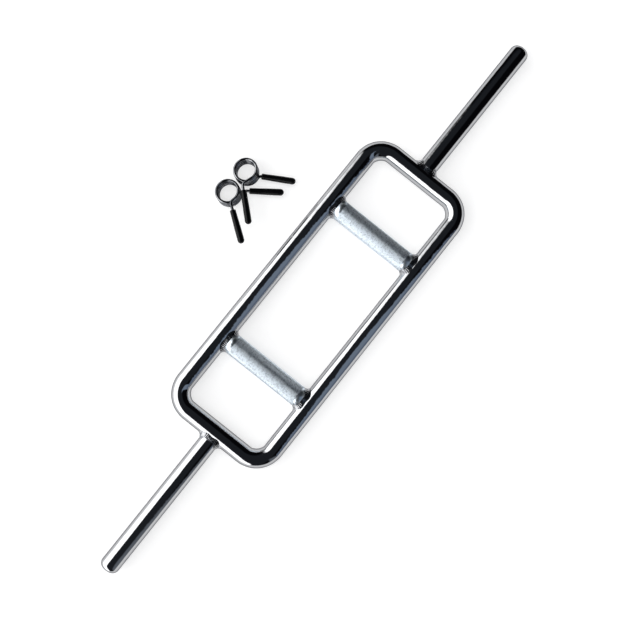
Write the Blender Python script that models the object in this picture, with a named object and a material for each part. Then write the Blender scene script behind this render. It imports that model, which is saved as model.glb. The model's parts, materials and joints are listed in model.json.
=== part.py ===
"""Triceps bar with its two spring collars, in metres, +Z up.

The bar lies along X on its two knurled grips. The collars lie beside it on the same floor.
The origin is on the floor, under the middle of the whole set.
"""

import math

import bmesh
import bpy
import numpy as np
from mathutils import Matrix, Vector

MM = 0.001

# Bar
BAR_LENGTH = 864 * MM
TUBE_DIAMETER = 25.4 * MM
TUBE_WALL = 3.5 * MM
FRAME_LENGTH = 451 * MM
FRAME_WIDTH = 169 * MM
BEND_RADIUS = 27 * MM
BUTT_WELD_WIDTH = 3 * MM
SLEEVE_DIAMETER = 25.4 * MM
SLEEVE_END_ROUND = 7.5 * MM
GRIP_DIAMETER = 28 * MM
GRIP_SPACING = 223 * MM

# Welds: each joined end is bevelled down to a flat face smaller than the tube, and the weld
# fills the bevel. Over the tube's crown its toe stops short of the top.
WELD_BEVEL = 4.5 * MM
SLEEVE_WELD_LEG = 8 * MM
GRIP_WELD_LEG = 6 * MM
WELD_TOE_DROP = 1.7 * MM
WELD_ROOT_LIFT = 0.7 * MM
WELD_CROWN = 0.6 * MM

# Spring collars
WIRE_DIAMETER = 4 * MM
COIL_BORE = 25.2 * MM
COIL_TURNS = 4
COIL_GAP = 0.5 * MM
ARM_OVERLAP = math.radians(12)
ARM_SPLAY = math.radians(35.1)
ARM_BEND_RADIUS = 5 * MM
HANDLE_RUN = 13.2 * MM
FIXED_RUN = 6 * MM
COVER_DIAMETER = 9 * MM
COVER_LENGTH = 45.5 * MM
COVER_MOUTH_ROUND = 0.8 * MM
COVER_TIP_SOLID = 5 * MM

# Where the collars lie: collar a from the middle of the bar, and the space between the coils
COLLAR_A_ALONG = 74.6 * MM
COIL_SPACE = 3.1 * MM

# Each collar's coil from the side of the frame, the way its arms point, which side is up,
# and the bare wire from each bend to the cover on it
COLLARS = {
    "collar_a": {
        "off_frame": 97.2 * MM,
        "heading": math.radians(-96.8),
        "upside_down": False,
        "bare_handle": 9.2 * MM,
        "bare_fixed": 3.6 * MM,
    },
    "collar_b": {
        "off_frame": 97.9 * MM,
        "heading": math.radians(-90.2),
        "upside_down": True,
        "bare_handle": 7.2 * MM,
        "bare_fixed": 11.6 * MM,
    },
}

# Clearances and fineness
FIT_GAP = 0.3 * MM
SHARP_EDGE = math.radians(35)
MOST_TILT = math.radians(30)
TILT_HALVINGS = 40
SIDES = 32
BEND_STEPS = 8
ROUND_STEPS = 5
COIL_STEPS = 24
ARM_BEND_STEPS = 5
COVER_SIDES = 16
TOE_STEPS = 3

TUBE_RADIUS = TUBE_DIAMETER / 2
SLEEVE_RADIUS = SLEEVE_DIAMETER / 2
GRIP_RADIUS = GRIP_DIAMETER / 2
WIRE_RADIUS = WIRE_DIAMETER / 2
COVER_RADIUS = COVER_DIAMETER / 2
WELD_FACE_RADIUS = TUBE_RADIUS - WELD_BEVEL
END_BAR_X = FRAME_LENGTH / 2 - TUBE_RADIUS
RAIL_Y = FRAME_WIDTH / 2 - TUBE_RADIUS
COIL_RADIUS = COIL_BORE / 2 + WIRE_RADIUS
COIL_PITCH = WIRE_DIAMETER + COIL_GAP
COIL_TRAVEL = 2 * math.pi * COIL_TURNS + 2 * ARM_OVERLAP
COIL_RISE = COIL_PITCH * COIL_TRAVEL / (2 * math.pi)
COIL_OUTER_DIAMETER = COIL_BORE + 2 * WIRE_DIAMETER
COLLAR_ALONG = {
    "collar_a": COLLAR_A_ALONG,
    "collar_b": COLLAR_A_ALONG - COIL_OUTER_DIAMETER - COIL_SPACE,
}


def clear_scene():
    for obj in list(bpy.data.objects):
        bpy.data.objects.remove(obj, do_unlink=True)


def surface(name, colour, roughness, metallic=1.0):
    made = bpy.data.materials.new(name)
    made.use_nodes = True
    shader = made.node_tree.nodes["Principled BSDF"]
    shader.inputs["Base Color"].default_value = (*colour, 1.0)
    shader.inputs["Roughness"].default_value = roughness
    shader.inputs["Metallic"].default_value = metallic
    made.diffuse_color = (*colour, 1.0)
    return made


def chrome(name):
    return surface(name, (0.55, 0.555, 0.57), 0.06)


def knurled_chrome(name):
    return surface(name, (0.56, 0.57, 0.59), 0.34)


def spring_steel(name):
    return surface(name, (0.42, 0.425, 0.44), 0.18)


def black_vinyl(name):
    return surface(name, (0.012, 0.012, 0.014), 0.25, 0.0)


def empty(name, parent=None, matrix=None):
    made = bpy.data.objects.new(name, None)
    bpy.context.scene.collection.objects.link(made)
    made.parent = parent
    if matrix is not None:
        made.matrix_local = matrix
    return made


def place(name, data, material, parent, matrix):
    """A named object in the scene, with its own material."""
    data.materials.append(material)
    made = bpy.data.objects.new(name, data)
    bpy.context.scene.collection.objects.link(made)
    made.parent = parent
    made.matrix_local = matrix
    return made


def loft(name, rings, closed):
    """Mesh through rings of as many points each. A closed loft joins the last to the first."""
    shape = bmesh.new()
    rows = [[shape.verts.new(point) for point in ring] for ring in rings]
    pairs = list(zip(rows, rows[1:]))
    if closed:
        pairs.append((rows[-1], rows[0]))
    for low, high in pairs:
        for i in range(len(low)):
            j = (i + 1) % len(low)
            shape.faces.new((low[i], low[j], high[j], high[i]))
    if not closed:
        shape.faces.new(rows[0])
        shape.faces.new(rows[-1])
    bmesh.ops.recalc_face_normals(shape, faces=shape.faces)
    mesh = bpy.data.meshes.new(name)
    shape.to_mesh(mesh)
    shape.free()
    mesh.shade_smooth()
    mesh.set_sharp_from_angle(angle=SHARP_EDGE)
    return mesh


def circle(middle, along, radius, sides):
    """Points of a circle across the direction along, which lies level."""
    across = Vector((-along.y, along.x, 0)).normalized()
    points = []
    for k in range(sides):
        turn = 2 * math.pi * k / sides
        points.append(middle + radius * (math.cos(turn) * across + math.sin(turn) * Vector((0, 0, 1))))
    return points


def turned(name, profile, sides):
    """Mesh turned about X from (place along X, radius) pairs, closed at both ends."""
    rings = [circle(Vector((x, 0, 0)), Vector((1, 0, 0)), radius, sides) for x, radius in profile]
    return loft(name, rings, closed=False)


def hollow_tube(name, path):
    """Open-ended tube of the frame's section along (point, direction) pairs."""
    outside = [circle(point, along, TUBE_RADIUS, SIDES) for point, along in path]
    inside = [circle(point, along, TUBE_RADIUS - TUBE_WALL, SIDES) for point, along in path]
    return loft(name, outside + inside[::-1], closed=True)


def frame_half_path():
    """Half of the rounded frame: half an end bar, a bend, a rail, a bend, half an end bar."""
    start_y = BUTT_WELD_WIDTH / 2 + FIT_GAP
    path = [(Vector((END_BAR_X, start_y, 0)), Vector((0, 1, 0)))]
    corner_x = END_BAR_X - BEND_RADIUS
    corner_y = RAIL_Y - BEND_RADIUS
    for centre_x, first in ((corner_x, 0.0), (-corner_x, math.pi / 2)):
        for step in range(BEND_STEPS + 1):
            turn = first + math.pi / 2 * step / BEND_STEPS
            outward = Vector((math.cos(turn), math.sin(turn), 0))
            along = Vector((-math.sin(turn), math.cos(turn), 0))
            path.append((Vector((centre_x, corner_y, 0)) + BEND_RADIUS * outward, along))
    path.append((Vector((-END_BAR_X, start_y, 0)), Vector((0, -1, 0))))
    return path


def butt_weld_path():
    """Ring of weld metal, ground flush, between the two halves of an end bar."""
    half = BUTT_WELD_WIDTH / 2
    return [(Vector((0, y, 0)), Vector((0, 1, 0))) for y in (-half, half)]


def sleeve_profile():
    """From the bevelled root to the rounded outer end, measured from the end bar's axis."""
    root = TUBE_RADIUS + FIT_GAP
    tip = BAR_LENGTH / 2 - END_BAR_X
    profile = [(root, WELD_FACE_RADIUS), (root + SLEEVE_WELD_LEG, SLEEVE_RADIUS)]
    for step in range(ROUND_STEPS + 1):
        turn = math.pi / 2 * step / ROUND_STEPS
        x = tip - SLEEVE_END_ROUND * (1 - math.sin(turn))
        radius = SLEEVE_RADIUS - SLEEVE_END_ROUND * (1 - math.cos(turn))
        profile.append((x, radius))
    return profile


def grip_profile():
    """A straight grip between the rails, bevelled at both ends for its welds."""
    half = RAIL_Y - TUBE_RADIUS - FIT_GAP
    shoulder = half - GRIP_WELD_LEG
    return [
        (-half, WELD_FACE_RADIUS),
        (-shoulder, GRIP_RADIUS),
        (shoulder, GRIP_RADIUS),
        (half, WELD_FACE_RADIUS),
    ]


def over_tube(radius, turn):
    """How far from the tube's axis its skin lies, with the gap, at this radius round the joint."""
    rise = radius * math.sin(turn)
    return math.sqrt((TUBE_RADIUS + FIT_GAP) ** 2 - rise**2)


def weld_section(turn, joined_radius, leg):
    """Section of a fillet weld, as (distance from the tube's axis, radius) pairs.

    The joined piece runs along the first of these. At a turn of 0 the section lies along
    the tube, where the weld is a full fillet, and at 90 degrees it lies over the tube's
    crown, where the weld sinks into the bevel and runs out on the tube.
    """
    side = math.cos(turn) ** 2
    crown = math.sin(turn) ** 2
    crown_toe = TUBE_RADIUS - WELD_TOE_DROP
    face = TUBE_RADIUS + FIT_GAP
    bevel = math.atan2(joined_radius - WELD_FACE_RADIUS, leg)
    root_radius = WELD_FACE_RADIUS + WELD_ROOT_LIFT
    toe_radius = (joined_radius + leg) * side + crown_toe * crown
    if toe_radius * math.sqrt(crown) > TUBE_RADIUS:
        toe_radius = TUBE_RADIUS / math.sqrt(crown)
    underside = FIT_GAP / math.sin(bevel)
    section = [
        (face + leg - underside, joined_radius),
        (face + WELD_ROOT_LIFT / math.tan(bevel) - underside, root_radius),
    ]
    for step in range(TOE_STEPS + 1):
        radius = root_radius + (toe_radius - root_radius) * step / TOE_STEPS
        section.append((over_tube(radius, turn), radius))
    middle = (
        face + WELD_CROWN,
        (joined_radius + WELD_CROWN) * side + (crown_toe + WELD_CROWN / 2) * crown,
    )
    toe, start = section[-1], section[0]
    for step in range(1, ROUND_STEPS):
        t = step / ROUND_STEPS
        section.append(
            tuple(
                (1 - t) ** 2 * toe[k] + 2 * t * (1 - t) * middle[k] + t**2 * start[k]
                for k in (0, 1)
            )
        )
    return section


def weld_mesh(name, joined_radius, leg):
    """Fillet weld round a piece that leaves the tube's side along X. The tube runs along Y."""
    rings = []
    for k in range(SIDES):
        turn = 2 * math.pi * k / SIDES
        across = Vector((0, math.cos(turn), math.sin(turn)))
        section = weld_section(turn, joined_radius, leg)
        rings.append([Vector((x, 0, 0)) + radius * across for x, radius in section])
    return loft(name, rings, closed=True)


def build_bar():
    """The welded bar. Its empty is at the height that rests it on its grips."""
    bar = empty("bar", matrix=Matrix.Translation((0, 0, max(GRIP_RADIUS, TUBE_RADIUS))))
    for name, turn in (("frame_half_left", 0.0), ("frame_half_right", math.pi)):
        place(
            name,
            hollow_tube(name, frame_half_path()),
            chrome(name),
            bar,
            Matrix.Rotation(turn, 4, "Z"),
        )
    for end, turn in (("front", 0.0), ("rear", math.pi)):
        joint = Matrix.Rotation(turn, 4, "Z") @ Matrix.Translation((END_BAR_X, 0, 0))
        name = f"butt_weld_{end}"
        place(name, hollow_tube(name, butt_weld_path()), chrome(name), bar, joint)
        name = f"sleeve_{end}"
        place(name, turned(name, sleeve_profile(), SIDES), chrome(name), bar, joint)
        name = f"sleeve_weld_{end}"
        weld = weld_mesh(name, SLEEVE_RADIUS, SLEEVE_WELD_LEG)
        place(name, weld, chrome(name), bar, joint)
        across = Matrix.Rotation(math.pi / 2, 4, "Z")
        grip_x = GRIP_SPACING / 2 * math.cos(turn)
        name = f"grip_{end}"
        place(
            name,
            turned(name, grip_profile(), SIDES),
            knurled_chrome(name),
            bar,
            Matrix.Translation((grip_x, 0, 0)) @ across,
        )
        for side, way in (("left", 1), ("right", -1)):
            name = f"grip_weld_{end}_{side}"
            rail = Matrix.Translation((grip_x, way * RAIL_Y, 0))
            inward = Matrix.Rotation(-way * math.pi / 2, 4, "Z")
            weld = weld_mesh(name, GRIP_RADIUS, GRIP_WELD_LEG)
            place(name, weld, chrome(name), bar, rail @ inward)
    return bar


def coil_points():
    """Centre line of the coil, from the fixed arm's end up to the handle arm's end.

    It winds clockwise as it climbs, seen from above, with the handle arm's end uppermost.
    """
    count = round(COIL_STEPS * COIL_TRAVEL / (2 * math.pi))
    points = []
    for step in range(count + 1):
        share = step / count
        turn = ARM_OVERLAP - share * COIL_TRAVEL
        rise = (share - 0.5) * COIL_RISE
        points.append(Vector((COIL_RADIUS * math.cos(turn), COIL_RADIUS * math.sin(turn), rise)))
    return points


def arm_start(way):
    """(where an arm leaves the coil, the direction it leaves in, the direction after its bend).

    way is 1 for the fixed arm, which goes to +Y, and -1 for the handle arm, which goes to -Y.
    """
    turn = way * ARM_OVERLAP
    start = Vector((COIL_RADIUS * math.cos(turn), COIL_RADIUS * math.sin(turn), -way * COIL_RISE / 2))
    leaving = way * Vector((-math.sin(turn), math.cos(turn), 0))
    heading = Vector((math.cos(ARM_SPLAY), way * math.sin(ARM_SPLAY), 0))
    return start, leaving, heading


def arm_points(way, run, beyond):
    """Centre line of an arm from the coil: tangent run, bend, and straight to its end."""
    start, leaving, heading = arm_start(way)
    corner = start + run * leaving
    bend = leaving.angle(heading)
    tangent = ARM_BEND_RADIUS * math.tan(bend / 2)
    centre = corner + (heading - leaving).normalized() * ARM_BEND_RADIUS / math.cos(bend / 2)
    first = corner - tangent * leaving - centre
    points = [start]
    for step in range(ARM_BEND_STEPS + 1):
        turned_by = -way * bend * step / ARM_BEND_STEPS
        points.append(centre + Matrix.Rotation(turned_by, 3, "Z") @ first)
    points.append(corner + beyond * heading)
    return points


def wire(name, points):
    """Round wire along these points, with flat ends."""
    curve = bpy.data.curves.new(name, "CURVE")
    curve.dimensions = "3D"
    curve.bevel_depth = WIRE_RADIUS
    curve.bevel_resolution = 1
    curve.use_fill_caps = True
    spline = curve.splines.new("POLY")
    spline.points.add(len(points) - 1)
    for slot, point in zip(spline.points, points):
        slot.co = (*point, 1)
    return curve


def cover_profile():
    """Vinyl handle cover along X from its mouth: blind bore, rounded mouth, rounded tip."""
    bore = WIRE_RADIUS + FIT_GAP
    shoulder = COVER_LENGTH - COVER_RADIUS
    profile = [(COVER_LENGTH - COVER_TIP_SOLID, bore), (0, bore)]
    profile.append((0, COVER_RADIUS - COVER_MOUTH_ROUND))
    profile.append((COVER_MOUTH_ROUND, COVER_RADIUS))
    for step in range(ROUND_STEPS):
        turn = math.pi / 2 * step / ROUND_STEPS
        profile.append((shoulder + COVER_RADIUS * math.sin(turn), COVER_RADIUS * math.cos(turn)))
    return profile


def cover_frame(way, run, bare):
    """Where a cover's mouth is on its arm, with X along the arm."""
    start, leaving, heading = arm_start(way)
    mouth = start + run * leaving + bare * heading
    return Matrix.Translation(mouth) @ Matrix.Rotation(way * ARM_SPLAY, 4, "Z")


def lying_frame(name, collar):
    """How a collar lies: tilted until its coil and its lower cover both touch the floor."""
    flip = Matrix.Rotation(math.pi if collar["upside_down"] else 0.0, 3, "X")
    lower = (-1, HANDLE_RUN, "bare_handle") if collar["upside_down"] else (1, FIXED_RUN, "bare_fixed")
    way, run, bare = lower
    mouth = cover_frame(way, run, collar[bare])
    cover = [flip @ (mouth @ Vector((x, 0, 0))) for x in (0, COVER_LENGTH - COVER_RADIUS)]
    coil = [flip @ point for point in coil_points()]

    def lowest(points, radius, tilt):
        turn = Matrix.Rotation(-tilt, 3, "Y")
        return min((turn @ point).z for point in points) - radius

    low, high = 0.0, MOST_TILT
    for _ in range(TILT_HALVINGS):
        tilt = (low + high) / 2
        if lowest(cover, COVER_RADIUS, tilt) < lowest(coil, WIRE_RADIUS, tilt):
            low = tilt
        else:
            high = tilt
    height = -lowest(coil, WIRE_RADIUS, tilt)
    off_bar = FRAME_WIDTH / 2 + collar["off_frame"]
    return (
        Matrix.Translation((COLLAR_ALONG[name], off_bar, height))
        @ Matrix.Rotation(collar["heading"], 4, "Z")
        @ Matrix.Rotation(-tilt, 4, "Y")
        @ flip.to_4x4()
    )


def build_collar(name, collar):
    """A spring collar: coil with its fixed arm, handle arm on the coil's axis, and two covers."""
    body = empty(name, matrix=lying_frame(name, collar))
    pivot = empty(f"{name}_pivot", parent=body)
    here = Matrix.Identity(4)
    inside = COVER_LENGTH - COVER_TIP_SOLID - FIT_GAP
    coil = coil_points()
    fixed = arm_points(1, FIXED_RUN, collar["bare_fixed"] + inside)
    handle = arm_points(-1, HANDLE_RUN, collar["bare_handle"] + inside)
    leaving = (handle[1] - handle[0]).normalized()
    coil_end = handle[0] + WIRE_DIAMETER * leaving
    handle[0] = coil_end + FIT_GAP * leaving
    coil_name = f"{name}_coil"
    whole_coil = wire(coil_name, fixed[:0:-1] + coil + [coil_end])
    place(coil_name, whole_coil, spring_steel(coil_name), body, here)
    arm_name = f"{name}_handle_arm"
    place(arm_name, wire(arm_name, handle), spring_steel(arm_name), pivot, here)
    for label, parent, way, run, bare in (
        ("fixed", body, 1, FIXED_RUN, collar["bare_fixed"]),
        ("handle", pivot, -1, HANDLE_RUN, collar["bare_handle"]),
    ):
        cover_name = f"{name}_{label}_cover"
        cover = turned(cover_name, cover_profile(), COVER_SIDES)
        place(cover_name, cover, black_vinyl(cover_name), parent, cover_frame(way, run, bare))
    return body


def least_coil_gap():
    """Least distance between turns of the wire, measured on its centre line's points."""
    points = np.array(coil_points())
    apart = np.linalg.norm(points[:, None] - points[None], axis=2)
    steps = np.abs(np.subtract.outer(np.arange(len(points)), np.arange(len(points))))
    return apart[steps > COIL_STEPS // 2].min() - WIRE_DIAMETER


def centre_on_origin(roots):
    """Moves the whole set level, so that the origin is under the middle of its box."""
    bpy.context.view_layer.update()
    graph = bpy.context.evaluated_depsgraph_get()
    corners = []
    for obj in bpy.context.scene.objects:
        if obj.type == "EMPTY":
            continue
        mesh = obj.evaluated_get(graph).to_mesh()
        corners += [obj.matrix_world @ vertex.co for vertex in mesh.vertices]
        obj.evaluated_get(graph).to_mesh_clear()
    corners = np.array(corners)
    middle = (corners.min(axis=0) + corners.max(axis=0)) / 2
    for root in roots:
        root.location.x -= middle[0]
        root.location.y -= middle[1]


def main():
    clear_scene()
    roots = [build_bar()]
    for name, collar in COLLARS.items():
        roots.append(build_collar(name, collar))
    centre_on_origin(roots)
    print(f"least gap between turns of a coil: {least_coil_gap() / MM:.2f} mm")


main()
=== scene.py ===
"""Looks of the chromed triceps bar and its two spring collars, in metres, +Z up.

The bar lies along X and the collars lie on its +Y side. Front is the +X end.
"""

import json
import math

import bmesh
import bpy
import numpy as np
from mathutils import Matrix, Vector


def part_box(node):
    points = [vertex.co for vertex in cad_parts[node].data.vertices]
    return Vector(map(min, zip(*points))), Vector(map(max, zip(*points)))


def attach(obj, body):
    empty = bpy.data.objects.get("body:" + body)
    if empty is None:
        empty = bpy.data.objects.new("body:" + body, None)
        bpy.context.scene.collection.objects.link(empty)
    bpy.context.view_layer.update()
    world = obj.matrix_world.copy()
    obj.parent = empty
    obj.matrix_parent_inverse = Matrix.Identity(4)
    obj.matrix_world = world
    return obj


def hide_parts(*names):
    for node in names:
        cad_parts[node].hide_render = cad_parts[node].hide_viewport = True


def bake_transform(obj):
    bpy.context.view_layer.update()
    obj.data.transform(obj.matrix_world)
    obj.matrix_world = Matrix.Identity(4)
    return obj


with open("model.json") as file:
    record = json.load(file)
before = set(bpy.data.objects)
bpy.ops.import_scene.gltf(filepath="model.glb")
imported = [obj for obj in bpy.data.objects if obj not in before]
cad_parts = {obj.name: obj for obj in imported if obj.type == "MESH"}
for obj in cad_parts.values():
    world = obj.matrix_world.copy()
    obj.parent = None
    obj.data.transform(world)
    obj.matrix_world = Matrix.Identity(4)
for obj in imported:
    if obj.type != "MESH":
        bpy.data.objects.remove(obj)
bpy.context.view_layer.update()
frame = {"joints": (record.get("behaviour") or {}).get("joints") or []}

MM = 0.001

# The bar, read from the frame
SLEEVE_LOW, SLEEVE_HIGH = (Vector(corner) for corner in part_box("sleeve_front"))
HALF_LOW, HALF_HIGH = (Vector(corner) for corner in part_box("frame_half_left"))
GRIP_LOW, GRIP_HIGH = (Vector(corner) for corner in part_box("grip_front"))
TUBE_RADIUS = (HALF_HIGH.z - HALF_LOW.z) / 2
SLEEVE_RADIUS = (SLEEVE_HIGH.z - SLEEVE_LOW.z) / 2
GRIP_RADIUS = (GRIP_HIGH.z - GRIP_LOW.z) / 2
BAR_MIDDLE = Vector((0, (SLEEVE_LOW.y + SLEEVE_HIGH.y) / 2, (HALF_LOW.z + HALF_HIGH.z) / 2))
SLEEVE_TIP_X = SLEEVE_HIGH.x
END_BAR_X = HALF_HIGH.x - TUBE_RADIUS
RAIL_Y = HALF_HIGH.y - BAR_MIDDLE.y - TUBE_RADIUS
GRIP_X = (GRIP_LOW.x + GRIP_HIGH.x) / 2

# Bends, rounded ends and welds, as in the solids
BEND_RADIUS = 27 * MM
SLEEVE_END_ROUND = 7.5 * MM
SLEEVE_WELD_LEG = 8 * MM
GRIP_WELD_LEG = 6 * MM
WELD_TOE_DROP = 1.7 * MM
WELD_CROWN = 0.6 * MM
WELD_SINK = 0.4 * MM

# Unevenness of the welds: its (share, number of waves) round a weld, the shares of the leg by
# which the two edges of a weld wander with it, and the ripples
UNEVEN_WAVES = ((0.6, 3), (0.4, 7))
TOE_WANDER = 0.08
START_WANDER = 0.06
RIPPLE_PITCH = 2.6 * MM
RIPPLE_HEIGHT = 0.32 * MM
RIPPLE_LAG = 2.2
RIPPLE_DRIFT = 0.5
RIPPLE_SHARPNESS = 0.7
RIPPLE_SINK = 0.35
RIPPLE_LUMPS = 0.2

# Bent tube: how it draws in at the bends
BEND_FLATTENING = 0.35 * MM
FLATTENING_SPREAD = 1.6
BEND_WRINKLE = 0.28 * MM
WRINKLE_LENGTH = 7 * MM

# Knurling
KNURLS_ROUND = 54
KNURL_TURN = 2 * math.pi / KNURLS_ROUND
KNURL_LENGTH = 2.2 * MM
KNURL_DEPTH = 0.17 * MM
KNURL_TOP_SHARE = 0.3
KNURL_MARGIN = 1.2 * MM
PLAIN_END_DEPTH = KNURL_DEPTH / 3
# How far the plain ends lie between the bright tops and the cuts' painted shade.
PLAIN_END_WEAR_AND_SHADE = 0.6

# Spring collars, as in the solids. The round wire and covers keep within their faceted ones.
WITHIN_FACETS = 0.1 * MM
WIRE_RADIUS = 2 * MM - WITHIN_FACETS
COIL_RADIUS = 14.6 * MM
COIL_PITCH = 4.5 * MM
COIL_TURNS = 4
ARM_OVERLAP = math.radians(12)
ARM_SPLAY = math.radians(35.1)
ARM_BEND_RADIUS = 5 * MM
HANDLE_RUN = 13.2 * MM
FIXED_RUN = 6 * MM
COVER_RADIUS = 4.5 * MM - WITHIN_FACETS
COVER_LENGTH = 45.5 * MM
COVER_TIP_SOLID = 5 * MM
COLLARS = {
    "collar_a": {"heading": math.radians(-96.8), "bare_handle": 9.2 * MM, "bare_fixed": 3.6 * MM},
    "collar_b": {"heading": math.radians(-90.2), "bare_handle": 7.2 * MM, "bare_fixed": 11.6 * MM},
}
COIL_TRAVEL = 2 * math.pi * COIL_TURNS + 2 * ARM_OVERLAP
COIL_RISE = COIL_PITCH * COIL_TRAVEL / (2 * math.pi)

# Covers: a rolled lip round the mouth, and a taper from the middle towards it
COVER_LIP = 0.5 * MM
COVER_MOUTH_DEPTH = 3 * COVER_LIP
COVER_MOUTH_SHARE = 0.9
COVER_TAPER = 0.45 * MM
TAPER_SPREAD = 1.3

# Fineness
TUBE_SIDES = 72
STRAIGHT_STEP = 4 * MM
BEND_STEP = 1.5 * MM
WELD_STEPS_ROUND = 288
WELD_STEPS_ACROSS = 16
ROUND_STEPS = 10
WIRE_SIDES = 24
COIL_STEPS = 72
ARM_BEND_STEPS = 12
ARM_STRAIGHT_SHARES = (0.25, 0.5, 0.75)
COVER_SIDES = 48
COVER_STEPS = 14
COVER_FIRST_SHARE = 0.04
SHARP_EDGE = math.radians(40)

# Colours, in pairs between which a surface varies. A tint darkens metal seen at a low angle.
CHROME_TONES = ((0.47, 0.475, 0.49), (0.52, 0.525, 0.535))
CHROME_TINT = (0.12, 0.12, 0.13)
WELD_TONES = ((0.16, 0.165, 0.18), (0.52, 0.525, 0.54))
# Knurling: the cuts are darker than the tops as painted shade in the recesses, and the bluish cast of
# both is a painted reflection of the bluish room.
KNURL_SHADED_CUT_TONES = ((0.20, 0.25, 0.33), (0.74, 0.83, 0.92))
KNURL_TOP_COLOUR = (0.86, 0.93, 0.97)
KNURL_TINT = (0.2, 0.2, 0.21)
WIRE_TONES = ((0.40, 0.405, 0.42), (0.10, 0.105, 0.115))
VINYL_TONES = ((0.0015, 0.0015, 0.002), (0.008, 0.008, 0.011))
VINYL_IOR = 1.35
VINYL_SHEEN = 0.3

# Camera: over the bar, tilted a little away towards its front end
CAMERA_OVER = Vector((-76.3 * MM, -14.3 * MM, 1000 * MM))
CAMERA_TILT = math.radians(3.39)
UP_IN_PICTURE = Vector((0.7816, 0.6238, 0))
CAMERA_LENS = 43.48
CAMERA_SENSOR = 36

# The room, in directions (x, y, z). A plane (a, b, c) keeps those where ax + by + cz is above 0.
EDGE_SOFTNESS = 0.06
WINDOW_LIGHT = (2.5, 2.5, 2.5)
WINDOW_EDGES = ((-0.78, 1, -0.82), (-1.36, 1, -0.75), (-0.45, 1, 0))
WINDOW_FADE = ((-1, 0.27, 0), 0.16)
SILL_EDGES = ((0, 0.17, -1), (1, 0, 0))
DOORWAY_EDGES = ((-1, -0.28, 0), (1, -0.19, -0.1))
DOORWAY_SOFTNESS = 0.02
DOORWAY_LOW = (0.15, 0.19, 0.27)
DOORWAY_HIGH = (0.25, 0.31, 0.40)
DOORWAY_HEIGHTS = (0.25, 0.6)
SIDE_WALL_EDGES = ((1, -0.5, 0), (-1, 0, -0.4), (0, -1, -0.8))
SIDE_WALL_LIGHT = (0.17, 0.19, 0.22)
CEILING_LIGHT = (0.020, 0.0225, 0.027)
DARK_SIDES = (((1, 0, -0.7), 0.15), ((0.9, -1, -0.55), 0.1))
DARK_LIGHT = (0.003, 0.003, 0.004)
HORIZON_LIGHT = (0.72, 0.72, 0.72)
HORIZON_BAND = (0.06, 0.16)

# Lamp and floor
LAMP_HEIGHT = 3
LAMP_SIZE = 4
LAMP_POWER = 68
FLOOR_COLOUR = (0.5, 0.5, 0.5)
FLOOR_ROUGHNESS = 0.9
FLOOR_SHEEN = 0.1
FLOOR_GLOW = 0.6
FLOOR_SIZE = 60


def rgba(colour):
    """A colour with the opacity that inputs want. An output of another node stays as it is."""
    if isinstance(colour, bpy.types.NodeSocket):
        return colour
    return (*colour, 1)


class Nodes:
    """Short way to write a node tree: each call adds a node and returns an output of it."""

    def __init__(self, tree):
        self.tree = tree

    def add(self, kind, inputs=(), output=0, **settings):
        """Adds a node of any kind. An input is a number, a vector or an output of another node."""
        node = self.tree.nodes.new(kind)
        for key, value in settings.items():
            setattr(node, key, value)
        for key, value in dict(inputs).items():
            if isinstance(value, bpy.types.NodeSocket):
                self.tree.links.new(value, node.inputs[key])
            else:
                node.inputs[key].default_value = value
        return node.outputs[output]

    def math(self, operation, *values):
        """Reckons with two values."""
        return self.add("ShaderNodeMath", dict(enumerate(values)), operation=operation)

    def range(self, value, low, high, to=(0.0, 1.0), smooth=False):
        """Maps values from low to high onto the two numbers of to, and no further."""
        inputs = {"Value": value, "From Min": low, "From Max": high, "To Min": to[0], "To Max": to[1]}
        kind = "SMOOTHSTEP" if smooth else "LINEAR"
        return self.add("ShaderNodeMapRange", inputs, interpolation_type=kind, clamp=True)

    def noise(self, vector, scale, detail=3, roughness=0.5):
        """Cloudy noise from 0 to 1. Scale is its patches per metre."""
        inputs = {"Vector": vector, "Scale": scale, "Detail": detail, "Roughness": roughness}
        return self.add("ShaderNodeTexNoise", inputs)

    def mix(self, share, first, second):
        """Mixes two colours by share, from the first at 0 to the second at 1."""
        inputs = {0: share, 6: rgba(first), 7: rgba(second)}
        return self.add("ShaderNodeMix", inputs, output=2, data_type="RGBA")

    def bump(self, height, distance, strength, normal=None):
        """Raises a surface by height times distance, on top of another bump's normal."""
        inputs = {"Height": height, "Distance": distance, "Strength": strength}
        if normal is not None:
            inputs["Normal"] = normal
        return self.add("ShaderNodeBump", inputs)


def new_material(name):
    """An empty material: (material, its nodes, its Principled shader, object coordinates)."""
    made = bpy.data.materials.new(name)
    made.use_nodes = True
    nodes = Nodes(made.node_tree)
    shader = made.node_tree.nodes["Principled BSDF"]
    place = nodes.add("ShaderNodeTexCoord", output="Object")
    return made, nodes, shader, place


def mirror_chrome():
    """Chrome plate on drawn tube: faint waves, orange peel, polishing haze and wiped marks."""
    made, nodes, shader, place = new_material("mirror_chrome")
    link = made.node_tree.links.new
    shader.inputs["Metallic"].default_value = 1.0
    shader.inputs["Specular Tint"].default_value = rgba(CHROME_TINT)
    tone = nodes.noise(place, scale=14, detail=2)
    link(nodes.mix(tone, *CHROME_TONES), shader.inputs["Base Color"])
    haze = nodes.noise(place, scale=45, detail=5, roughness=0.6)
    haze = nodes.range(haze, 0.35, 0.75, to=(0.03, 0.075))
    wiped = nodes.noise(place, scale=420, detail=3, roughness=0.7)
    wiped = nodes.range(wiped, 0.5, 0.8, to=(0.0, 0.05))
    link(nodes.math("ADD", haze, wiped), shader.inputs["Roughness"])
    waves = nodes.bump(nodes.noise(place, scale=42), 0.5 * MM, strength=0.7)
    peel = nodes.bump(nodes.noise(place, scale=260, detail=2), 0.03 * MM, strength=0.5, normal=waves)
    link(peel, shader.inputs["Normal"])
    return made


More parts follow.
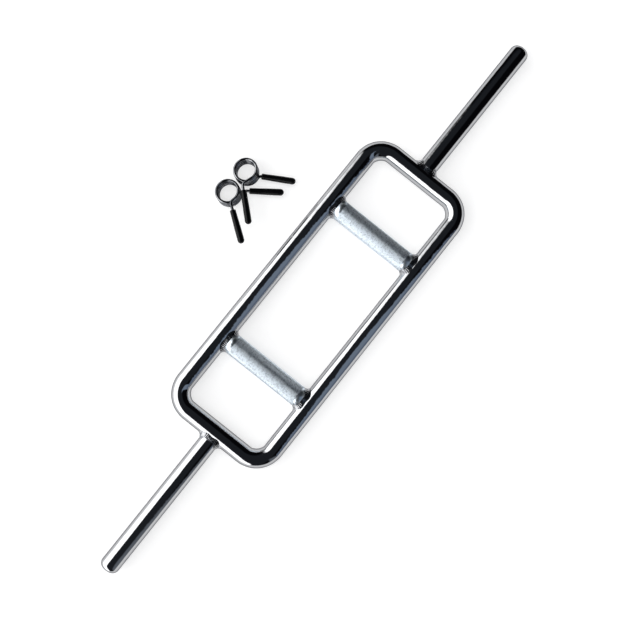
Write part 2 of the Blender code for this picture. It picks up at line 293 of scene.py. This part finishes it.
def weld_chrome():
    """Chrome plate over weld metal: duller and patchy, with small lumps and a fine grain."""
    made, nodes, shader, place = new_material("weld_chrome")
    link = made.node_tree.links.new
    shader.inputs["Metallic"].default_value = 1.0
    grime = nodes.range(nodes.noise(place, scale=330, detail=4, roughness=0.6), 0.38, 0.66)
    link(nodes.mix(grime, *WELD_TONES), shader.inputs["Base Color"])
    dull = nodes.range(nodes.noise(place, scale=210), 0.3, 0.75, to=(0.07, 0.24))
    link(dull, shader.inputs["Roughness"])
    lumps = nodes.bump(nodes.noise(place, scale=480), 0.35 * MM, strength=0.7)
    grain = nodes.bump(nodes.noise(place, scale=1900, detail=2), 0.08 * MM, strength=0.5, normal=lumps)
    link(grain, shader.inputs["Normal"])
    return made


def knurled_chrome():
    """Chrome plate on knurling: bright worn tops, and cuts between them darkened in patches with painted
    shade; all of it carries a painted bluish reflection.
    """
    made, nodes, shader, place = new_material("knurled_chrome")
    link = made.node_tree.links.new
    shader.inputs["Metallic"].default_value = 1.0
    shader.inputs["Specular Tint"].default_value = rgba(KNURL_TINT)
    top = nodes.add("ShaderNodeAttribute", output="Fac", attribute_name="top")
    # Patches of the cuts between a lighter worn tone and a dark painted shade; the 'top' attribute lifts
    # the tops to their bright colour.
    cut_wear_and_shade = nodes.range(nodes.noise(place, scale=420, detail=5, roughness=0.7), 0.40, 0.52)
    cut = nodes.mix(cut_wear_and_shade, *KNURL_SHADED_CUT_TONES)
    link(nodes.mix(top, cut, KNURL_TOP_COLOUR), shader.inputs["Base Color"])
    dull = nodes.range(nodes.noise(place, scale=240), 0.3, 0.7, to=(0.28, 0.36))
    link(dull, shader.inputs["Roughness"])
    grain = nodes.bump(nodes.noise(place, scale=2600, detail=2), 0.03 * MM, strength=0.6)
    link(grain, shader.inputs["Normal"])
    return made


def spring_steel():
    """Plated spring wire: grey, with dark tarnish in patches and fine scratches."""
    made, nodes, shader, place = new_material("spring_steel")
    link = made.node_tree.links.new
    shader.inputs["Metallic"].default_value = 1.0
    shader.inputs["Specular Tint"].default_value = rgba(CHROME_TINT)
    tarnish = nodes.range(nodes.noise(place, scale=90, detail=5, roughness=0.6), 0.34, 0.58)
    link(nodes.mix(tarnish, *WIRE_TONES), shader.inputs["Base Color"])
    scratched = nodes.noise(place, scale=700, detail=4, roughness=0.7)
    link(nodes.range(scratched, 0.35, 0.7, to=(0.08, 0.20)), shader.inputs["Roughness"])
    grain = nodes.bump(nodes.noise(place, scale=1500), 0.05 * MM, strength=0.5)
    link(grain, shader.inputs["Normal"])
    return made


def black_vinyl():
    """Dipped vinyl: glossy black, with soft dimples, dust and slightly dulled patches."""
    made, nodes, shader, place = new_material("black_vinyl")
    link = made.node_tree.links.new
    shader.inputs["IOR"].default_value = VINYL_IOR
    shader.inputs["Specular IOR Level"].default_value = VINYL_SHEEN
    dust = nodes.range(nodes.noise(place, scale=900, detail=5, roughness=0.7), 0.62, 0.80)
    link(nodes.mix(dust, *VINYL_TONES), shader.inputs["Base Color"])
    rubbed = nodes.range(nodes.noise(place, scale=120, detail=4), 0.3, 0.7, to=(0.12, 0.24))
    link(rubbed, shader.inputs["Roughness"])
    dimples = nodes.bump(nodes.noise(place, scale=210), 0.25 * MM, strength=0.5)
    grain = nodes.bump(nodes.noise(place, scale=2200, detail=2), 0.03 * MM, strength=0.5, normal=dimples)
    link(grain, shader.inputs["Normal"])
    return made


CHROME = mirror_chrome()
WELD_CHROME = weld_chrome()
KNURLED_CHROME = knurled_chrome()
SPRING_STEEL = spring_steel()
BLACK_VINYL = black_vinyl()


def smooth_mesh(name, points, faces):
    """Mesh that shades smoothly, apart from its sharp edges."""
    mesh = bpy.data.meshes.new(name)
    mesh.from_pydata([tuple(point) for point in points], [], faces)
    mesh.validate()
    mesh.shade_smooth()
    mesh.set_sharp_from_angle(angle=SHARP_EDGE)
    return mesh


def loft(name, rings, closed=False):
    """Mesh through rings of as many points each. An open loft gets a fan over each end."""
    rings = np.array(rings)
    count, sides = rings.shape[:2]
    points = list(rings.reshape(-1, 3))
    faces = []
    for i in range(count if closed else count - 1):
        here = i * sides
        there = (i + 1) % count * sides
        for k in range(sides):
            n = (k + 1) % sides
            faces.append((here + k, here + n, there + n, there + k))
    if not closed:
        for start, order in ((0, -1), ((count - 1) * sides, 1)):
            middle = len(points)
            points.append(rings[start // sides].mean(axis=0))
            for k in range(sides):
                pair = (start + k, start + (k + 1) % sides)[::order]
                faces.append((*pair, middle))
    return smooth_mesh(name, points, faces)


def turned(name, profile, sides):
    """Mesh turned about X from (place along X, radius) pairs."""
    angles = np.linspace(0, 2 * math.pi, sides, endpoint=False)
    rings = []
    for x, radius in profile:
        ring = (np.full(sides, x), radius * np.cos(angles), radius * np.sin(angles))
        rings.append(np.stack(ring, axis=1))
    return loft(name, rings)


def piece(name, mesh, material, replaced, body=None, matrix=None):
    """Puts a mesh in the scene as a piece of the object, in place of solids of the frame."""
    mesh.materials.append(material)
    if matrix is not None:
        mesh.transform(matrix)
    made = bpy.data.objects.new(name, mesh)
    bpy.context.scene.collection.objects.link(made)
    if body is not None:
        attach(made, body)
    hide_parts(*replaced)
    return made


def ease(value):
    """Smooth step from 0 to 1."""
    value = np.clip(value, 0, 1)
    return value * value * (3 - 2 * value)


def loop_path():
    """Centre line of the rounded frame: (point, direction, share of its bend or None) each."""
    corner_x = END_BAR_X - BEND_RADIUS
    corner_y = RAIL_Y - BEND_RADIUS
    bend_steps = round(BEND_RADIUS * math.pi / 2 / BEND_STEP)
    path = []
    for quarter in range(4):
        side_x = 1 if quarter in (0, 3) else -1
        side_y = 1 if quarter in (0, 1) else -1
        centre = np.array((side_x * corner_x, side_y * corner_y, 0))
        for step in range(bend_steps + 1):
            share = step / bend_steps
            turn = quarter * math.pi / 2 + share * math.pi / 2
            outward = np.array((math.cos(turn), math.sin(turn), 0))
            along = np.array((-math.sin(turn), math.cos(turn), 0))
            path.append((centre + BEND_RADIUS * outward, along, share))
        run = 2 * (corner_x if quarter in (0, 2) else corner_y)
        start, along = path[-1][:2]
        steps = round(run / STRAIGHT_STEP)
        for step in range(1, steps):
            path.append((start + along * run * step / steps, along, None))
    return path


def bent_radius(angles, share):
    """Radius round the tube at a share of a bend: flatter outside, wrinkled near the ends inside."""
    inner = np.clip(-np.cos(angles), 0, 1)
    outer = np.clip(np.cos(angles), 0, 1)
    flattening = BEND_FLATTENING * ease(4 * share * (1 - share) * FLATTENING_SPREAD)
    from_end = min(share, 1 - share) * BEND_RADIUS * math.pi / 2
    wrinkle = math.exp(-((from_end - WRINKLE_LENGTH) / (WRINKLE_LENGTH / 2)) ** 2)
    return TUBE_RADIUS - flattening * outer**2 - BEND_WRINKLE * wrinkle * inner**3


def frame_loop():
    """The whole frame as one seamless tube, drawn in a little where it was bent."""
    angles = np.linspace(0, 2 * math.pi, TUBE_SIDES, endpoint=False)
    rings = []
    for point, along, share in loop_path():
        outward = np.cross(along, (0, 0, 1))
        radius = np.full(TUBE_SIDES, TUBE_RADIUS)
        if share is not None:
            radius = bent_radius(angles, share)
        round_tube = np.outer(np.cos(angles), outward) + np.outer(np.sin(angles), (0, 0, 1))
        rings.append(np.array(BAR_MIDDLE) + point + radius[:, None] * round_tube)
    return loft("frame_tube", rings, closed=True)


def sleeve_mesh(name):
    """Plain sleeve along X from the end bar's axis: sunk in its weld, rounded at the tip."""
    root = TUBE_RADIUS
    straight = SLEEVE_TIP_X - END_BAR_X - SLEEVE_END_ROUND
    steps = round((straight - root) / STRAIGHT_STEP)
    profile = [(root + (straight - root) * step / steps, SLEEVE_RADIUS) for step in range(steps)]
    for step in range(ROUND_STEPS + 1):
        turn = math.pi / 2 * step / ROUND_STEPS
        x = straight + SLEEVE_END_ROUND * math.sin(turn)
        profile.append((x, SLEEVE_RADIUS - SLEEVE_END_ROUND * (1 - math.cos(turn))))
    return turned(name, profile, TUBE_SIDES)


def weld_corners(turn, joined_radius, leg, uneven):
    """(x, radius) of a weld's toe on the tube, its curve's middle and its start on the joined piece.

    Along the tube the weld keeps its full leg, and over the tube's crown it follows the tube down.
    """
    side = math.cos(turn) ** 2
    crown = 1 - side
    crown_toe = TUBE_RADIUS - WELD_TOE_DROP
    toe_radius = (joined_radius + leg * (1 + TOE_WANDER * uneven)) * side + crown_toe * crown
    if toe_radius * math.sqrt(crown) > TUBE_RADIUS - WELD_SINK:
        toe_radius = (TUBE_RADIUS - WELD_SINK) / math.sqrt(crown)
    rise = toe_radius * math.sin(turn)
    toe = (math.sqrt(TUBE_RADIUS**2 - rise**2) - WELD_SINK, toe_radius)
    middle_radius = (joined_radius + WELD_CROWN) * side + (crown_toe + WELD_CROWN / 2) * crown
    middle = (TUBE_RADIUS + WELD_CROWN, middle_radius)
    start = (TUBE_RADIUS + leg * (1 + START_WANDER * uneven), joined_radius - WELD_SINK)
    return np.array(toe), np.array(middle), np.array(start)


def rippled_curve(toe, middle, start, phase, uneven):
    """(x, radius) points from a weld's toe to its start, lifted and sunk by the ripples."""
    points = []
    for step in range(WELD_STEPS_ACROSS + 1):
        t = step / WELD_STEPS_ACROSS
        place = (1 - t) ** 2 * toe + 2 * t * (1 - t) * middle + t**2 * start
        tangent = (1 - t) * (middle - toe) + t * (start - middle)
        normal = np.array((tangent[1], -tangent[0]))
        normal /= np.linalg.norm(normal)
        if normal.sum() < 0:
            normal = -normal
        bow = 4 * t * (1 - t)
        wave = 0.5 + 0.5 * math.cos(phase - RIPPLE_LAG * bow + RIPPLE_DRIFT * uneven)
        lift = wave**RIPPLE_SHARPNESS - RIPPLE_SINK + RIPPLE_LUMPS * uneven * bow
        points.append(place + RIPPLE_HEIGHT * math.sqrt(bow) * lift * normal)
    return points


def unevenness(turn, seed):
    """How uneven a weld is at a place round it, from -1 to 1."""
    waves = enumerate(UNEVEN_WAVES, start=1)
    return sum(share * math.sin(count * turn + order * seed) for order, (share, count) in waves)


def weld_mesh(name, joined_radius, leg, seed):
    """Rippled fillet weld round a piece that leaves a tube's side along X. The tube runs along Y.

    A point underneath, out of sight, closes each section of it.
    """
    ripples = round(2 * math.pi * (joined_radius + leg / 3) / RIPPLE_PITCH)
    under = np.array((TUBE_RADIUS - 3 * WELD_SINK, joined_radius - 5 * WELD_SINK))
    rings = []
    for k in range(WELD_STEPS_ROUND):
        turn = 2 * math.pi * k / WELD_STEPS_ROUND
        uneven = unevenness(turn, seed)
        corners = weld_corners(turn, joined_radius, leg, uneven)
        section = rippled_curve(*corners, ripples * turn, uneven) + [under]
        across = np.array((0, math.cos(turn), math.sin(turn)))
        rings.append([np.array((x, 0, 0)) + radius * across for x, radius in section])
    return loft(name, rings, closed=True)


class KnurledShape:
    """Points about X, how bright each is painted (1 on the worn tops, 0 in the cuts, which get painted
    shade), and the faces between them.
    """

    def __init__(self):
        self.points = []
        self.wear_and_shade = []
        self.faces = []

    def point(self, x, turn, radius, wear_and_shade):
        """Adds a point and returns its number."""
        self.points.append((x, radius * math.cos(turn), radius * math.sin(turn)))
        self.wear_and_shade.append(wear_and_shade)
        return len(self.points) - 1

    def ring(self, x, shift, radius, wear_and_shade):
        """One point for each knurl round the grip, shifted by a share of a knurl."""
        return [self.point(x, (k + shift) * KNURL_TURN, radius, wear_and_shade) for k in range(KNURLS_ROUND)]

    def knurl(self, x, turn, corners, half_length):
        """Flat-topped pyramid on four corners in the cuts."""
        along = KNURL_TOP_SHARE * half_length
        across = KNURL_TOP_SHARE * KNURL_TURN / 2
        flat = (
            self.point(x, turn - across, GRIP_RADIUS, 1.0),
            self.point(x + along, turn, GRIP_RADIUS, 1.0),
            self.point(x, turn + across, GRIP_RADIUS, 1.0),
            self.point(x - along, turn, GRIP_RADIUS, 1.0),
        )
        self.faces.append(flat)
        for m in range(4):
            n = (m + 1) % 4
            self.faces.append((corners[m], corners[n], flat[n], flat[m]))

    def plain_end(self, outermost, next_row, ends_at):
        """Fills the half knurls of the outermost row, then runs plain to the places along X."""
        for k in range(KNURLS_ROUND):
            self.faces.append((outermost[k], outermost[(k + 1) % KNURLS_ROUND], next_row[k]))
        last = outermost
        for x in ends_at:
            ring = self.ring(x, 0, GRIP_RADIUS - PLAIN_END_DEPTH, PLAIN_END_WEAR_AND_SHADE)
            for k in range(KNURLS_ROUND):
                n = (k + 1) % KNURLS_ROUND
                self.faces.append((last[k], last[n], ring[n], ring[k]))
            last = ring
        self.faces.append(tuple(last))


def row_shift(row):
    """Every second row of knurls lies half a knurl further round."""
    return 0.5 * (row % 2)


def knurled_grip_mesh(name):
    """Grip along X with cut diamonds, each a small flat-topped pyramid, and plain ends."""
    end = RAIL_Y - TUBE_RADIUS
    shoulder = end - GRIP_WELD_LEG
    reach = shoulder - KNURL_MARGIN
    rows = 2 * round(reach / (KNURL_LENGTH / 2)) + 1
    step = 2 * reach / (rows - 1)
    shape = KnurledShape()
    cuts = []
    for row in range(rows):
        cuts.append(shape.ring(-reach + row * step, row_shift(row), GRIP_RADIUS - KNURL_DEPTH, 0.0))
    for row in range(1, rows - 1):
        for k in range(KNURLS_ROUND):
            n = (k + 1) % KNURLS_ROUND
            between = n if row % 2 else k
            corners = (cuts[row][k], cuts[row + 1][between], cuts[row][n], cuts[row - 1][between])
            turn = (k + 0.5 + row_shift(row)) * KNURL_TURN
            shape.knurl(-reach + row * step, turn, corners, step)
    knurl_faces = len(shape.faces)
    for outermost, next_row, way in ((cuts[0], cuts[1], -1), (cuts[-1], cuts[-2], 1)):
        shape.plain_end(outermost, next_row, (way * (shoulder - KNURL_MARGIN / 2), way * end))
    mesh = bpy.data.meshes.new(name)
    mesh.from_pydata(shape.points, [], shape.faces)
    for face in mesh.polygons[knurl_faces:]:
        face.use_smooth = len(face.vertices) == 4
    # 1 on the worn tops, 0 in the cuts, which the material darkens with painted shade.
    top = mesh.attributes.new("top", "FLOAT", "POINT")
    top.data.foreach_set("value", np.array(shape.wear_and_shade, np.float32))
    turn_faces_outward(mesh)
    return mesh


def turn_faces_outward(mesh):
    """Turns every face of a closed mesh outward."""
    shape = bmesh.new()
    shape.from_mesh(mesh)
    bmesh.ops.recalc_face_normals(shape, faces=shape.faces)
    shape.to_mesh(mesh)
    shape.free()


def build_frame():
    """The rounded frame, one piece in place of its two halves and the butt welds between them."""
    solids = ("frame_half_left", "frame_half_right", "butt_weld_front", "butt_weld_rear")
    piece("frame_tube", frame_loop(), CHROME, solids, "bar")


def build_sleeve(end, about, seed):
    """The sleeve at one end of the bar, and the weld round its root."""
    joint = about @ Matrix.Translation((END_BAR_X, 0, 0))
    name = f"{end}_sleeve"
    piece(name, sleeve_mesh(name), CHROME, (f"sleeve_{end}",), "bar", joint)
    name = f"{end}_sleeve_bead"
    bead = weld_mesh(name, SLEEVE_RADIUS, SLEEVE_WELD_LEG, seed)
    piece(name, bead, WELD_CHROME, (f"sleeve_weld_{end}",), "bar", joint)


def build_grip(end, about, turn):
    """The knurled grip near one end of the frame, and the welds that join it to the rails."""
    middle = about @ Matrix.Translation((GRIP_X, 0, 0))
    across = middle @ Matrix.Rotation(math.pi / 2, 4, "Z")
    name = f"{end}_knurled_grip"
    grip = knurled_grip_mesh(name)
    piece(name, grip, KNURLED_CHROME, (f"grip_{end}",), "bar", across)
    for side, way in (("left", 1), ("right", -1)):
        name = f"{end}_{side}_grip_bead"
        rail_y = way * RAIL_Y * math.cos(turn)
        rail = middle @ Matrix.Translation((0, rail_y, 0))
        inward = Matrix.Rotation(-math.copysign(math.pi / 2, rail_y), 4, "Z")
        bead = weld_mesh(name, GRIP_RADIUS, GRIP_WELD_LEG, seed=2 * way + turn)
        solid = (f"grip_weld_{end}_{side}",)
        piece(name, bead, WELD_CHROME, solid, "bar", rail @ inward)


def build_bar():
    """The welded bar: frame, and at each end a sleeve, a grip and their welds."""
    build_frame()
    for end, turn in (("front", 0.0), ("rear", math.pi)):
        about = Matrix.Translation(BAR_MIDDLE) @ Matrix.Rotation(turn, 4, "Z")
        build_sleeve(end, about, seed=1 + turn)
        build_grip(end, about, turn)


def coil_point(turn, rise):
    """A point of the coil's centre line, in the collar's own axes."""
    return np.array((COIL_RADIUS * math.cos(turn), COIL_RADIUS * math.sin(turn), rise))


def coil_end(way):
    """(where an arm leaves the coil, the direction it leaves in). way: 1 fixed arm, -1 handle."""
    turn = way * ARM_OVERLAP
    leaving = way * np.array((-math.sin(turn), math.cos(turn), 0))
    return coil_point(turn, -way * COIL_RISE / 2), leaving


def arm_heading(way):
    """The direction of an arm beyond its bend."""
    return np.array((math.cos(ARM_SPLAY), way * math.sin(ARM_SPLAY), 0))


def arm_corner(way, run):
    """Where the two straights of an arm would meet, a run away from the coil."""
    place, leaving = coil_end(way)
    return place + run * leaving


def arm_points(way, run, beyond):
    """Centre line of an arm, from just past the coil's end to the end inside its cover."""
    place, leaving = coil_end(way)
    heading = arm_heading(way)
    corner = arm_corner(way, run)
    bend = math.acos(leaving @ heading)
    cut = ARM_BEND_RADIUS * math.tan(bend / 2)
    inward = heading - leaving
    centre = corner + inward / np.linalg.norm(inward) * ARM_BEND_RADIUS / math.cos(bend / 2)
    spoke = corner - cut * leaving - centre
    across = np.array((-spoke[1], spoke[0], 0))
    points = [place + share * (run - cut) * leaving for share in ARM_STRAIGHT_SHARES]
    for step in range(ARM_BEND_STEPS + 1):
        swing = -way * bend * step / ARM_BEND_STEPS
        points.append(centre + (math.cos(swing) * spoke + math.sin(swing) * across))
    points.append(corner + beyond * heading)
    return points


def wire_points(collar):
    """Centre line of a whole collar's wire: fixed arm, coil, handle arm."""
    inside = COVER_LENGTH - COVER_TIP_SOLID
    fixed = arm_points(1, FIXED_RUN, collar["bare_fixed"] + inside)
    handle = arm_points(-1, HANDLE_RUN, collar["bare_handle"] + inside)
    count = round(COIL_STEPS * COIL_TRAVEL / (2 * math.pi))
    coil = []
    for step in range(count + 1):
        share = step / count
        coil.append(coil_point(ARM_OVERLAP - share * COIL_TRAVEL, (share - 0.5) * COIL_RISE))
    return fixed[::-1] + coil + handle


def wire_mesh(name, points):
    """Round wire along a centre line, on a frame that turns no more than it must."""
    points = np.array(points)
    along = np.gradient(points, axis=0)
    along /= np.linalg.norm(along, axis=1)[:, None]
    side = np.cross(along[0], (0, 0, 1))
    angles = np.linspace(0, 2 * math.pi, WIRE_SIDES, endpoint=False)
    rings = []
    for point, way in zip(points, along):
        side = side - (side @ way) * way
        side /= np.linalg.norm(side)
        up = np.cross(way, side)
        ring = np.outer(np.cos(angles), side) + np.outer(np.sin(angles), up)
        rings.append(point + WIRE_RADIUS * ring)
    return loft(name, rings)


def cover_mesh(name):
    """Dipped vinyl cover along X from its mouth: a rolled lip, a slight taper and a round tip.

    The last ring of the tip stays open by a part of a step, and the fan over it closes it.
    """
    shoulder = COVER_LENGTH - COVER_RADIUS
    profile = [(COVER_MOUTH_DEPTH, WIRE_RADIUS * COVER_MOUTH_SHARE), (COVER_LIP, WIRE_RADIUS)]
    swell = (COVER_RADIUS - COVER_LIP - WIRE_RADIUS) / 2
    for step in range(ROUND_STEPS + 1):
        turn = math.pi * step / ROUND_STEPS
        x = COVER_LIP * (1 - math.sin(turn))
        profile.append((x, WIRE_RADIUS + swell - swell * math.cos(turn)))
    for share in np.linspace(COVER_FIRST_SHARE, 1, COVER_STEPS):
        taper = COVER_TAPER * (1 - ease(share * TAPER_SPREAD))
        profile.append((COVER_LIP + (shoulder - COVER_LIP) * share, COVER_RADIUS - taper))
    for step in range(1, ROUND_STEPS + 1):
        turn = math.pi / 2 * step / (ROUND_STEPS + 0.5)
        profile.append((shoulder + COVER_RADIUS * math.sin(turn), COVER_RADIUS * math.cos(turn)))
    return turned(name, profile, COVER_SIDES)


def collar_matrix(name):
    """The collar's own axes at rest: Z along its coil, X the way its arms point."""
    hinge = next(joint for joint in frame["joints"] if joint["name"] == f"{name}_squeeze")
    up = Vector(hinge["axis"]).normalized()
    heading = COLLARS[name]["heading"]
    level = Vector((math.cos(heading), math.sin(heading), 0))
    ahead = (level - level.dot(up) * up).normalized()
    axes = Matrix((ahead, up.cross(ahead), up)).transposed().to_4x4()
    return Matrix.Translation(hinge["pos_m"]) @ axes


def build_collar(name):
    """One spring collar: its wire, which on the real collar winds up when the handle is squeezed but
    here is one still piece, and two covers.
    """
    collar = COLLARS[name]
    place = collar_matrix(name)
    wire_name = f"{name}_wire"
    wire = piece(
        wire_name,
        wire_mesh(wire_name, wire_points(collar)),
        SPRING_STEEL,
        (f"{name}_coil", f"{name}_handle_arm"),
        matrix=place,
    )
    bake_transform(wire)
    for label, body, way, run in (
        ("fixed", name, 1, FIXED_RUN),
        ("handle", f"{name}_handle", -1, HANDLE_RUN),
    ):
        mouth = arm_corner(way, run) + collar[f"bare_{label}"] * arm_heading(way)
        along = Matrix.Translation(mouth) @ Matrix.Rotation(way * ARM_SPLAY, 4, "Z")
        cover_name = f"{name}_{label}_grip"
        cover = cover_mesh(cover_name)
        solid = (f"{name}_{label}_cover",)
        piece(cover_name, cover, BLACK_VINYL, solid, body, place @ along)


def camera():
    """Camera a metre over the bar, turned so that the bar runs up to the right."""
    data = bpy.data.cameras.new("camera")
    data.lens = CAMERA_LENS
    data.sensor_width = CAMERA_SENSOR
    made = bpy.data.objects.new("camera", data)
    bpy.context.scene.collection.objects.link(made)
    right = UP_IN_PICTURE.cross(Vector((0, 0, 1)))
    level = Matrix((right, UP_IN_PICTURE, Vector((0, 0, 1)))).transposed().to_4x4()
    tilt = Matrix.Rotation(-CAMERA_TILT, 4, "Y")
    made.matrix_world = Matrix.Translation(BAR_MIDDLE + CAMERA_OVER) @ tilt @ level
    bpy.context.scene.camera = made


def light_path(nodes):
    """1 for camera, glossy and transmission rays, which see the floor's full paleness."""
    path = nodes.tree.nodes.new("ShaderNodeLightPath")
    rays = ("Is Camera Ray", "Is Glossy Ray", "Is Transmission Ray")
    camera_ray, glossy_ray, transmission_ray = (path.outputs[name] for name in rays)
    return nodes.math("MAXIMUM", nodes.math("MAXIMUM", camera_ray, glossy_ray), transmission_ray)


def floor():
    """Plain pale floor. It glows a little to the camera and in reflections, and keeps its shadows."""
    half = FLOOR_SIZE / 2
    mesh = bpy.data.meshes.new("floor")
    corners = [(-half, -half, 0), (half, -half, 0), (half, half, 0), (-half, half, 0)]
    mesh.from_pydata(corners, [], [(0, 1, 2, 3)])
    made = bpy.data.objects.new("floor", mesh)
    bpy.context.scene.collection.objects.link(made)
    material = bpy.data.materials.new("floor")
    material.use_nodes = True
    nodes = Nodes(material.node_tree)
    shader = material.node_tree.nodes["Principled BSDF"]
    shader.inputs["Base Color"].default_value = rgba(FLOOR_COLOUR)
    shader.inputs["Roughness"].default_value = FLOOR_ROUGHNESS
    shader.inputs["Specular IOR Level"].default_value = FLOOR_SHEEN
    shader.inputs["Emission Color"].default_value = (1, 1, 1, 1)
    glow = nodes.math("MULTIPLY", light_path(nodes), FLOOR_GLOW)
    material.node_tree.links.new(glow, shader.inputs["Emission Strength"])
    mesh.materials.append(material)


class RoomNodes(Nodes):
    """Nodes of the world, which tell directions apart."""

    def __init__(self, tree):
        super().__init__(tree)
        self.way = self.add("ShaderNodeTexCoord", output="Generated")

    def along(self, plane):
        """How far a direction lies on the kept side of a plane, and below 0 on the other side."""
        inputs = {0: self.way, 1: plane}
        return self.add("ShaderNodeVectorMath", inputs, output="Value", operation="DOT_PRODUCT")

    def beyond(self, plane, soft=EDGE_SOFTNESS):
        """Mask: 1 on the kept side of a plane and 0 on the other, with a soft edge."""
        return self.range(self.along(plane), -soft, soft, smooth=True)

    def all_of(self, masks):
        """Mask of what all the masks share."""
        shared = masks[0]
        for mask in masks[1:]:
            shared = self.math("MULTIPLY", shared, mask)
        return shared


def room():
    """World light: a dark ceiling over a pale horizon, with a bright window, a bluish doorway and
    a dim side wall.
    """
    world = bpy.data.worlds.new("room")
    bpy.context.scene.world = world
    world.use_nodes = True
    nodes = RoomNodes(world.node_tree)
    height = nodes.along((0, 0, 1))
    above_sill = nodes.math("SUBTRACT", 1.0, nodes.all_of([nodes.beyond(edge) for edge in SILL_EDGES]))
    window_edges = [nodes.beyond(edge) for edge in WINDOW_EDGES]
    window = nodes.all_of(window_edges + [nodes.beyond(*WINDOW_FADE), above_sill])
    doorway = nodes.all_of([nodes.beyond(edge, DOORWAY_SOFTNESS) for edge in DOORWAY_EDGES])
    doorway_light = nodes.mix(nodes.range(height, *DOORWAY_HEIGHTS), DOORWAY_LOW, DOORWAY_HIGH)
    side_wall = nodes.all_of([nodes.beyond(edge) for edge in SIDE_WALL_EDGES])
    horizon = nodes.range(height, *HORIZON_BAND, to=(1.0, 0.0), smooth=True)
    dark = nodes.math("MAXIMUM", *[nodes.beyond(*side) for side in DARK_SIDES])
    colour = nodes.mix(dark, CEILING_LIGHT, DARK_LIGHT)
    for mask, light in (
        (side_wall, SIDE_WALL_LIGHT),
        (doorway, doorway_light),
        (horizon, HORIZON_LIGHT),
        (window, WINDOW_LIGHT),
    ):
        colour = nodes.mix(mask, colour, light)
    background = world.node_tree.nodes["Background"]
    world.node_tree.links.new(colour, background.inputs["Color"])


def lamp():
    """Wide soft lamp overhead. Chrome doesn't show it: it mirrors the dark ceiling in its place."""
    data = bpy.data.lights.new("lamp", "AREA")
    data.energy = LAMP_POWER
    data.size = LAMP_SIZE
    made = bpy.data.objects.new("lamp", data)
    bpy.context.scene.collection.objects.link(made)
    made.location = (0, 0, LAMP_HEIGHT)
    made.visible_glossy = False


build_bar()
for collar_name in COLLARS:
    build_collar(collar_name)
camera()
floor()
room()
lamp()
bpy.context.scene.view_settings.view_transform = "Standard"
